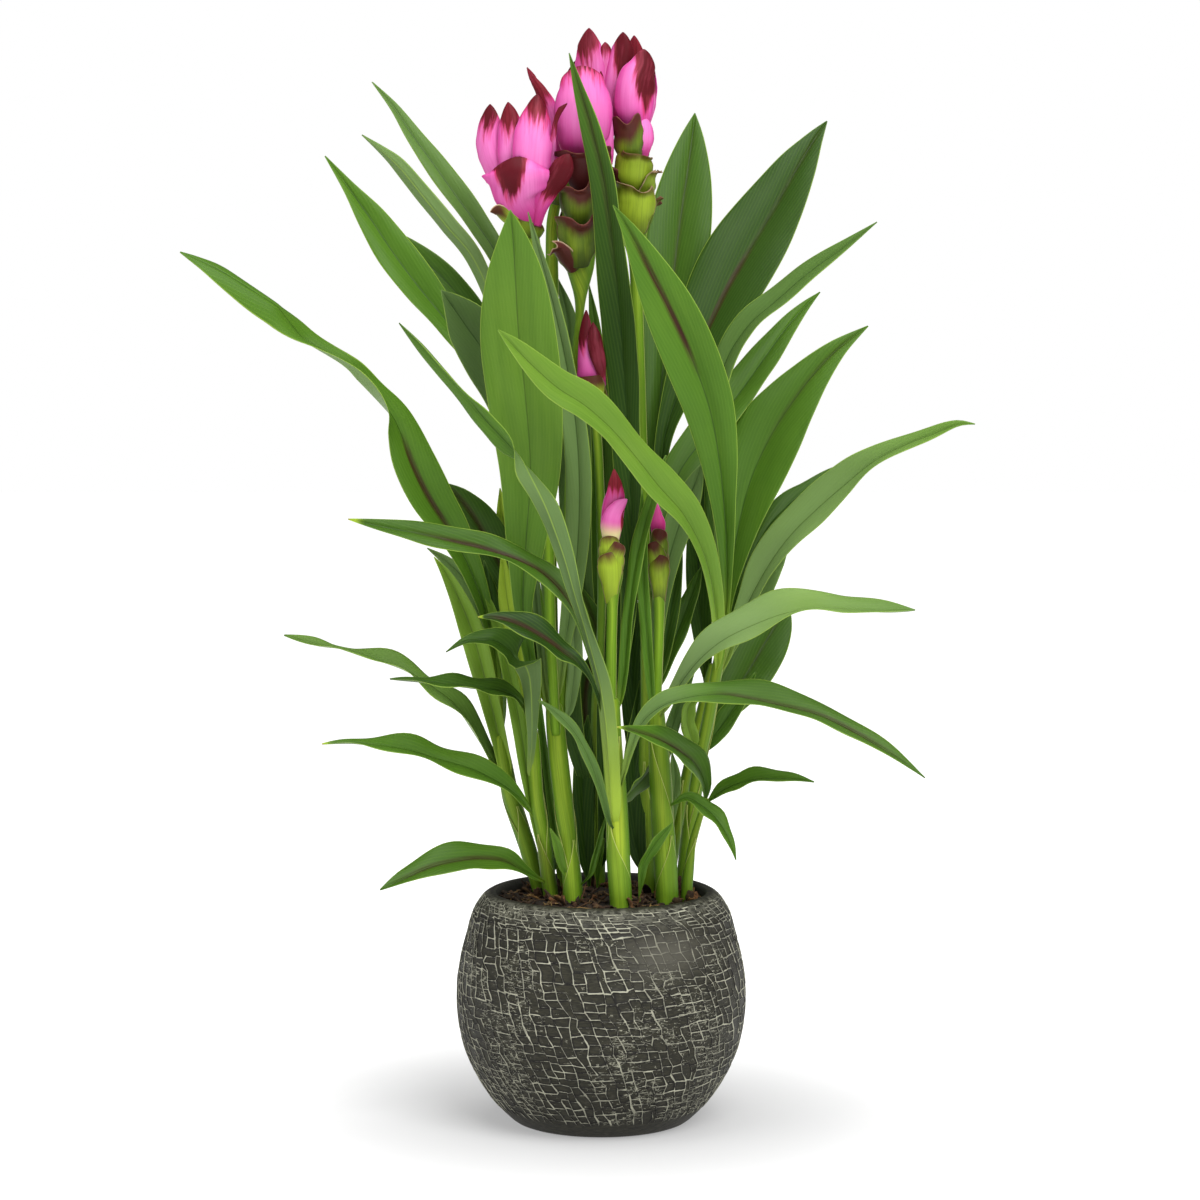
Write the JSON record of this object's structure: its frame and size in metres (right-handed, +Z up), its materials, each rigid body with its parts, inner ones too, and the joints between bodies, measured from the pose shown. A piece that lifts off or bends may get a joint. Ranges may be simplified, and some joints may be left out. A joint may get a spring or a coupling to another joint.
{
  "type": "potted siam tulip",
  "caption": "Leafy siam tulip with upright pink-bracted flower heads and long lance-shaped leaves, standing in soil in a round bellied textured pot.",
  "frame": {"origin": "centre of the pot's foot, on the surface that the pot stands on", "axes": "+Z up through the plant, -Y towards the front that the picture shows, +X to the right in the picture"},
  "size_m": [0.4195, 0.207, 0.5986],
  "materials": {
    "pot": "matt, with a raised pale mosaic of lines",
    "soil": "rough bark and peat",
    "stem": "smooth living stem, slightly waxy",
    "leaf": "satin living leaf with fine parallel veins",
    "bract_pink": "soft petal-like bract",
    "bract_green": "soft green bract with dark edges"
  },
  "bodies": {
    "root": {"pot": "pot", "stem_left": "stem", "stem_left_front": "stem", "stem_centre_left": "stem", "stem_front": "stem", "stem_right_front": "stem", "stem_right": "stem", "stem_right_back": "stem", "stem_back": "stem", "stem_right_far": "stem", "shoot_small": "stem", "bloom_left_green": "bract_green", "bloom_left_pink": "bract_pink", "bloom_middle_green": "bract_green", "bloom_middle_pink": "bract_pink", "bloom_right_green": "bract_green", "bloom_right_pink": "bract_pink", "bloom_back": "bract_pink", "bud_upper": "bract_pink", "bud_front": "bract_pink", "bud_right": "bract_pink", "leaf_left_1": "leaf", "leaf_left_2": "leaf", "leaf_left_3": "leaf", "leaf_left_4": "leaf", "leaf_left_5": "leaf", "leaf_left_6": "leaf", "leaf_left_7": "leaf", "leaf_left_8": "leaf", "leaf_left_9": "leaf", "leaf_left_10": "leaf", "leaf_left_11": "leaf", "leaf_left_12": "leaf", "leaf_left_13": "leaf", "leaf_left_14": "leaf", "leaf_left_15": "leaf", "leaf_left_16": "leaf", "leaf_left_17": "leaf", "leaf_centre_1": "leaf", "leaf_centre_2": "leaf", "leaf_centre_3": "leaf", "leaf_centre_4": "leaf", "leaf_centre_5": "leaf", "leaf_centre_7": "leaf", "leaf_right_1": "leaf", "leaf_right_2": "leaf", "leaf_right_3": "leaf", "leaf_right_4": "leaf", "leaf_right_5": "leaf", "leaf_right_6": "leaf", "leaf_right_7": "leaf", "leaf_right_8": "leaf", "leaf_right_9": "leaf", "leaf_right_13": "leaf", "leaf_right_15": "leaf", "leaf_right_16": "leaf", "leaf_right_17": "leaf", "leaf_young": "leaf", "soil": "soil"}
  },
  "joints": []
}
